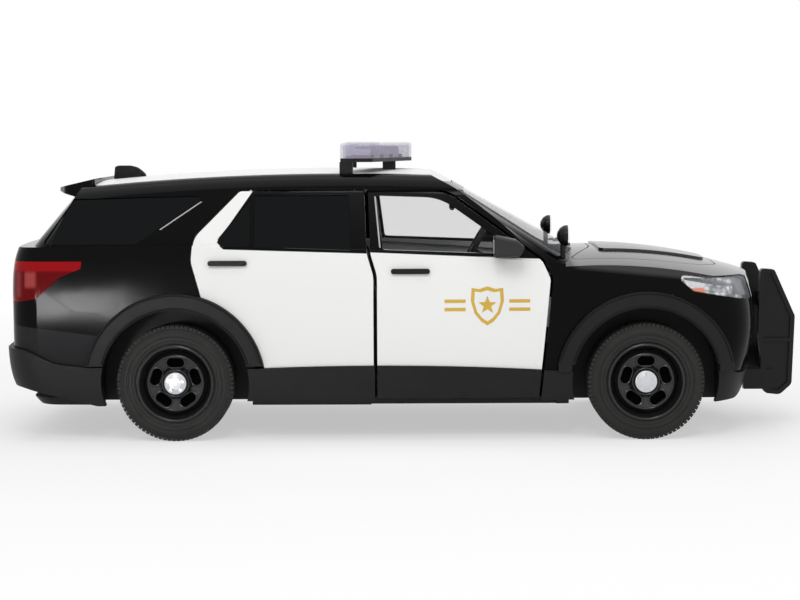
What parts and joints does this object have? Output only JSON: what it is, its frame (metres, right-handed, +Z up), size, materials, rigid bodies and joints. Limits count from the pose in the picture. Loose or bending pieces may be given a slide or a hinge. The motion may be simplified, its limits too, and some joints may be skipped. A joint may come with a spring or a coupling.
{
  "type": "die-cast model of a police sport-utility car",
  "caption": "Small-scale die-cast model of a police sport-utility car with opening front doors, rolling wheels, a roof light bar and a push bumper.",
  "frame": {"origin": "on the floor under the middle of the model's length and width", "axes": "+X to the car's front, +Y to its left, +Z up"},
  "size_m": [0.2171, 0.0926, 0.0795],
  "materials": {
    "black_paint": "gloss",
    "white_paint": "gloss",
    "steel": "satin",
    "clear": "clear",
    "tinted": "dark tint",
    "dark_trim": "matte",
    "black_plastic": "satin",
    "bright": "bright",
    "red_lens": "clear red",
    "rubber": "matte",
    "rim_black": "satin black",
    "cabin": "matte"
  },
  "bodies": {
    "body": {"antenna_fin": "black_plastic", "arch_trims": "dark_trim", "body_shell": "black_paint", "cabin_tub": "cabin", "chassis": "dark_trim", "corner_vents": "black_plastic", "dashboard": "cabin", "front_bumper": "dark_trim", "front_seats": "cabin", "grille": "black_plastic", "headlamp_buckets": "bright", "headlamp_lenses": "clear", "hinge_pins": "steel", "hood": "black_paint", "intake": "black_plastic", "light_bar_base": "black_plastic", "light_bar_lamps": "bright", "light_bar_lens": "clear", "push_bumper": "black_plastic", "quarter_glasses": "tinted", "rear_bumper": "dark_trim", "rear_door_glasses": "tinted", "rear_door_left": "white_paint", "rear_door_right": "white_paint", "rear_handle_left": "black_plastic", "rear_handle_right": "black_plastic", "rear_seat": "cabin", "roof_panel": "white_paint", "sill_trims": "dark_trim", "spoiler": "black_plastic", "spotlight_lenses": "clear", "spotlights": "black_plastic", "steering_wheel": "cabin", "tail_lamps": "red_lens", "tailgate": "black_paint", "tailgate_glass": "tinted", "windscreen": "clear"},
    "front_wheels": {"front_axle": "steel", "front_tyres": "rubber", "front_rims": "rim_black", "front_hub_caps": "bright"},
    "rear_wheels": {"rear_axle": "steel", "rear_tyres": "rubber", "rear_rims": "rim_black", "rear_hub_caps": "bright"},
    "right_door": {"front_door_right": "white_paint", "front_door_glass_right": "clear", "front_door_trim_right": "dark_trim", "mirror_right": "black_plastic", "front_handle_right": "black_plastic"},
    "left_door": {"front_door_left": "white_paint", "front_door_glass_left": "clear", "front_door_trim_left": "dark_trim", "mirror_left": "black_plastic", "front_handle_left": "black_plastic"}
  },
  "joints": [
    {"name": "front_axle_spin", "type": "hinge", "parent": "body", "child": "front_wheels", "pos_m": [0.06455, 0, 0.0156], "axis": [0, 1, 0], "continuous": true},
    {"name": "rear_axle_spin", "type": "hinge", "parent": "body", "child": "rear_wheels", "pos_m": [-0.06145, 0, 0.0156], "axis": [0, 1, 0], "continuous": true},
    {"name": "right_door_hinge", "type": "hinge", "parent": "body", "child": "right_door", "pos_m": [0.04155, -0.0371, 0.034], "axis": [0, 0, 1], "range_deg": [0, 60]},
    {"name": "left_door_hinge", "type": "hinge", "parent": "body", "child": "left_door", "pos_m": [0.04155, 0.0371, 0.034], "axis": [0, 0, -1], "range_deg": [0, 60]}
  ]
}
